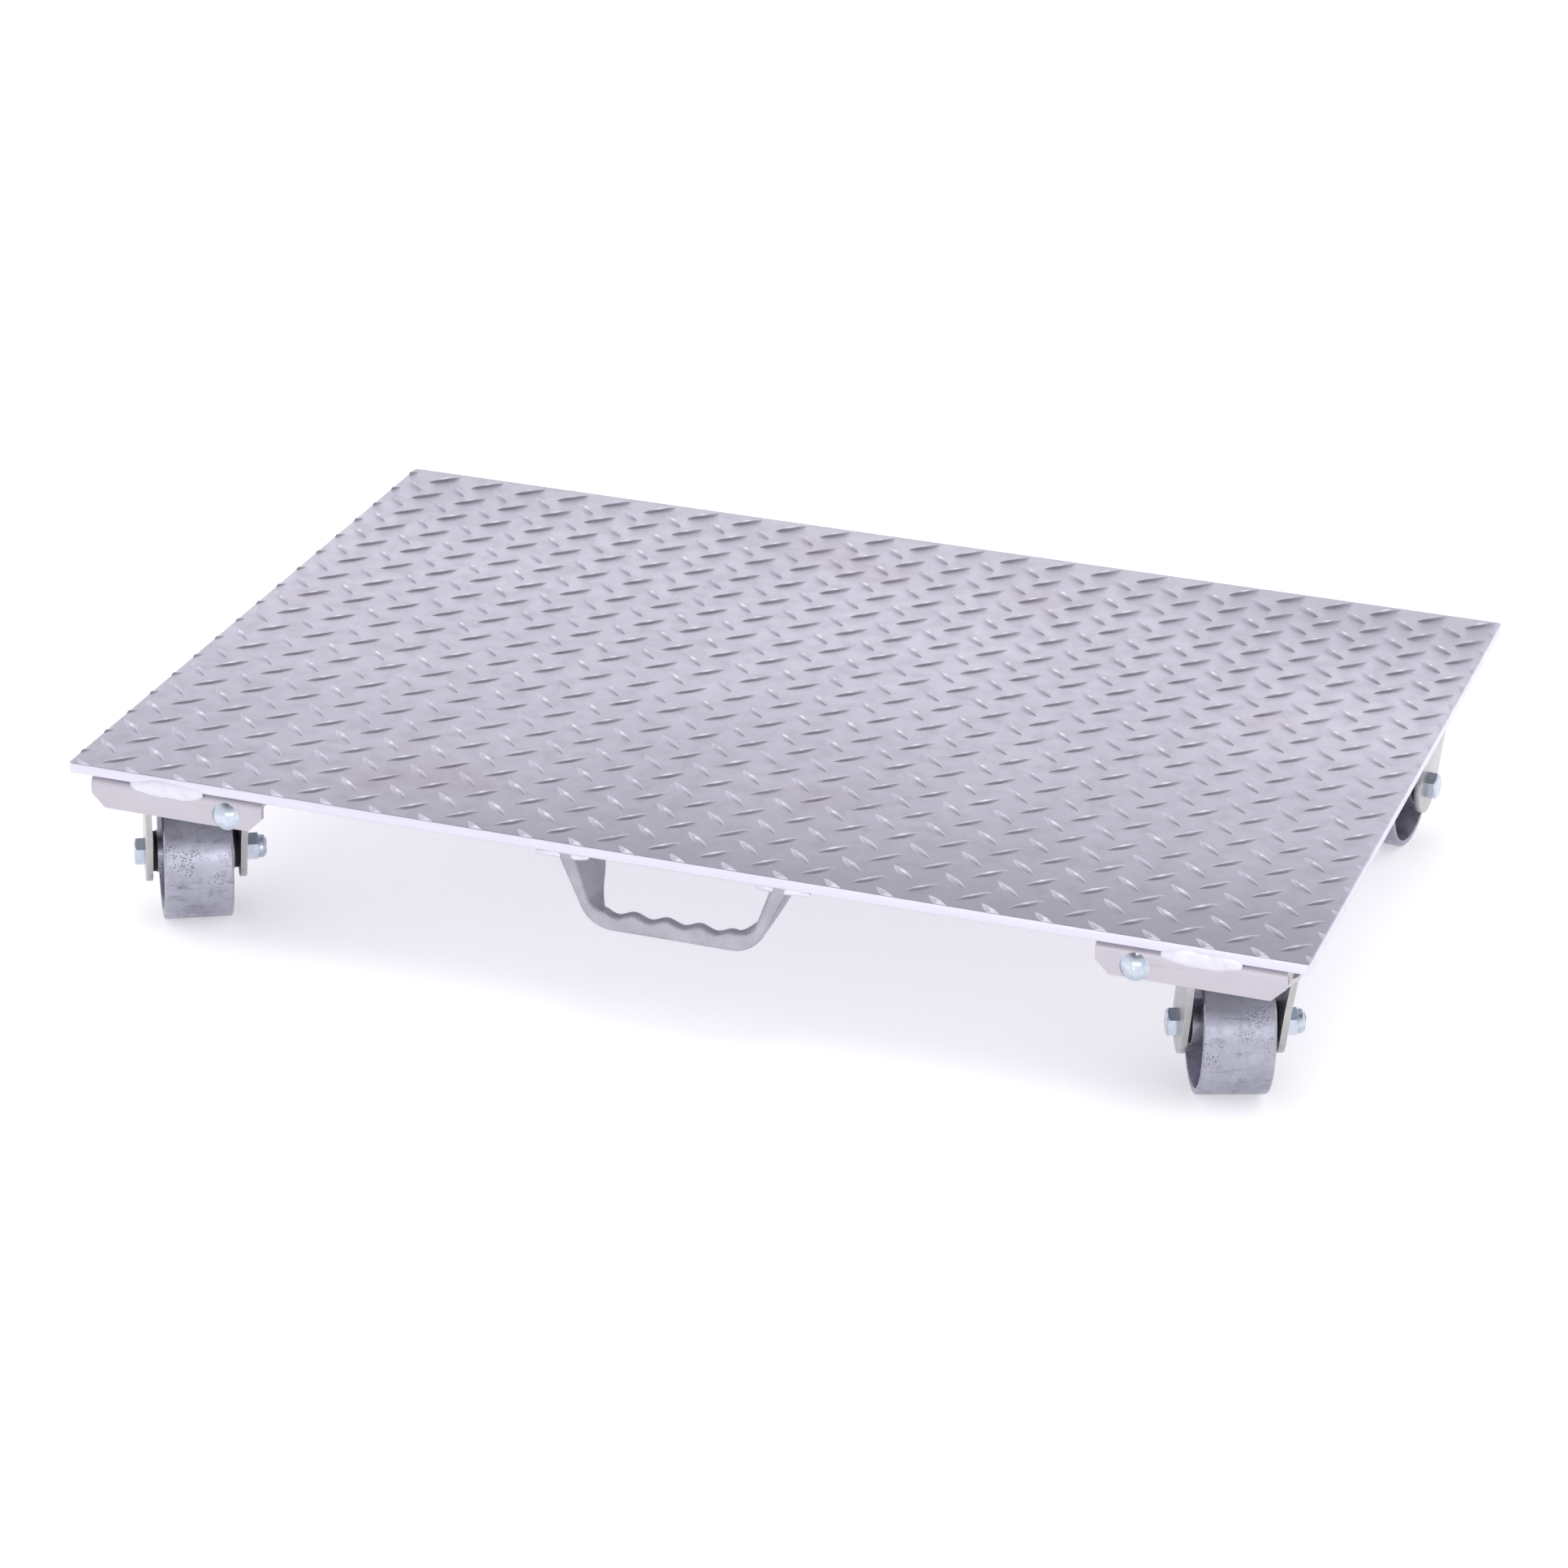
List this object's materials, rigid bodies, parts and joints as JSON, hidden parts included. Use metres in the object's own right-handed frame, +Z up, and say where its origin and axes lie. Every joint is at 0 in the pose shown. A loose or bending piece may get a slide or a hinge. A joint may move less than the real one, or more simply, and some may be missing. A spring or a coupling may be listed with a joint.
{
  "type": "flatbed platform truck",
  "caption": "Low platform truck: raised-pattern tread plate deck on swivel casters with cast wheels, caster brackets welded under its corners and a cast pull handle under one edge.",
  "frame": {"origin": "on the floor under the deck's centre", "axes": "+Z up; +X along the deck's long side, towards the right seen from the handle; -Y towards the handle"},
  "size_m": [0.9144, 0.662, 0.1515],
  "materials": {
    "tread_plate": "mill finish tread plate, pale grey",
    "cast_aluminium": "rough sand-cast aluminium",
    "bracket_sheet": "mill finish formed sheet, faintly warm",
    "bare_steel": "hot rolled bar",
    "weld_metal": "rippled weld metal",
    "zinc_bolt": "bright bluish zinc plating",
    "caster_steel": "zinc plated pressed steel, slightly yellow at the edges",
    "race_steel": "oiled steel",
    "seal_black": "matte black",
    "cast_wheel": "silver-grey cast surface with dark pits"
  },
  "bodies": {
    "frame": {"deck_plate": "tread_plate", "handle": "cast_aluminium", "bracket_fl": "bracket_sheet", "bracket_fr": "bracket_sheet", "bracket_bl": "bracket_sheet", "bracket_br": "bracket_sheet", "spacer_bars": "bare_steel", "weld_beads": "weld_metal", "retaining_bolts": "zinc_bolt", "retaining_nuts": "zinc_bolt", "plate_bolts": "zinc_bolt", "top_plate_fl": "caster_steel", "upper_race_fl": "race_steel", "kingpin_fl": "race_steel", "top_plate_fr": "caster_steel", "upper_race_fr": "race_steel", "kingpin_fr": "race_steel", "top_plate_bl": "caster_steel", "upper_race_bl": "race_steel", "kingpin_bl": "race_steel", "top_plate_br": "caster_steel", "upper_race_br": "race_steel", "kingpin_br": "race_steel"},
    "caster_fl": {"fork_fl": "caster_steel", "race_balls_fl": "race_steel", "axle_bolt_fl": "zinc_bolt", "axle_nut_fl": "zinc_bolt", "axle_sleeve_fl": "race_steel", "seal_washers_fl": "seal_black"},
    "rolling_fl": {"wheel_fl": "cast_wheel", "roller_bearing_fl": "race_steel"},
    "caster_fr": {"fork_fr": "caster_steel", "race_balls_fr": "race_steel", "axle_bolt_fr": "zinc_bolt", "axle_nut_fr": "zinc_bolt", "axle_sleeve_fr": "race_steel", "seal_washers_fr": "seal_black"},
    "rolling_fr": {"wheel_fr": "cast_wheel", "roller_bearing_fr": "race_steel"},
    "caster_bl": {"fork_bl": "caster_steel", "race_balls_bl": "race_steel", "axle_bolt_bl": "zinc_bolt", "axle_nut_bl": "zinc_bolt", "axle_sleeve_bl": "race_steel", "seal_washers_bl": "seal_black"},
    "rolling_bl": {"wheel_bl": "cast_wheel", "roller_bearing_bl": "race_steel"},
    "caster_br": {"fork_br": "caster_steel", "race_balls_br": "race_steel", "axle_bolt_br": "zinc_bolt", "axle_nut_br": "zinc_bolt", "axle_sleeve_br": "race_steel", "seal_washers_br": "seal_black"},
    "rolling_br": {"wheel_br": "cast_wheel", "roller_bearing_br": "race_steel"}
  },
  "joints": [
    {"name": "swivel_fl", "type": "hinge", "parent": "frame", "child": "caster_fl", "pos_m": [-0.3912, -0.254, 0.11], "axis": [0, 0, 1], "continuous": true},
    {"name": "spin_fl", "type": "hinge", "parent": "caster_fl", "child": "rolling_fl", "pos_m": [-0.40408, -0.23027, 0.0508], "axis": [0.8788, 0.4772, 0], "continuous": true},
    {"name": "swivel_fr", "type": "hinge", "parent": "frame", "child": "caster_fr", "pos_m": [0.3942, -0.254, 0.11], "axis": [0, 0, 1], "continuous": true},
    {"name": "spin_fr", "type": "hinge", "parent": "caster_fr", "child": "rolling_fr", "pos_m": [0.38409, -0.22897, 0.0508], "axis": [0.9272, 0.3746, 0], "continuous": true},
    {"name": "swivel_bl", "type": "hinge", "parent": "frame", "child": "caster_bl", "pos_m": [-0.3912, 0.254, 0.11], "axis": [0, 0, 1], "continuous": true},
    {"name": "spin_bl", "type": "hinge", "parent": "caster_bl", "child": "rolling_bl", "pos_m": [-0.38744, 0.22726, 0.0508], "axis": [-0.9903, -0.1392, 0], "continuous": true},
    {"name": "swivel_br", "type": "hinge", "parent": "frame", "child": "caster_br", "pos_m": [0.3942, 0.254, 0.11], "axis": [0, 0, 1], "continuous": true},
    {"name": "spin_br", "type": "hinge", "parent": "caster_br", "child": "rolling_br", "pos_m": [0.39161, 0.22712, 0.0508], "axis": [-0.9954, 0.0958, 0], "continuous": true}
  ]
}
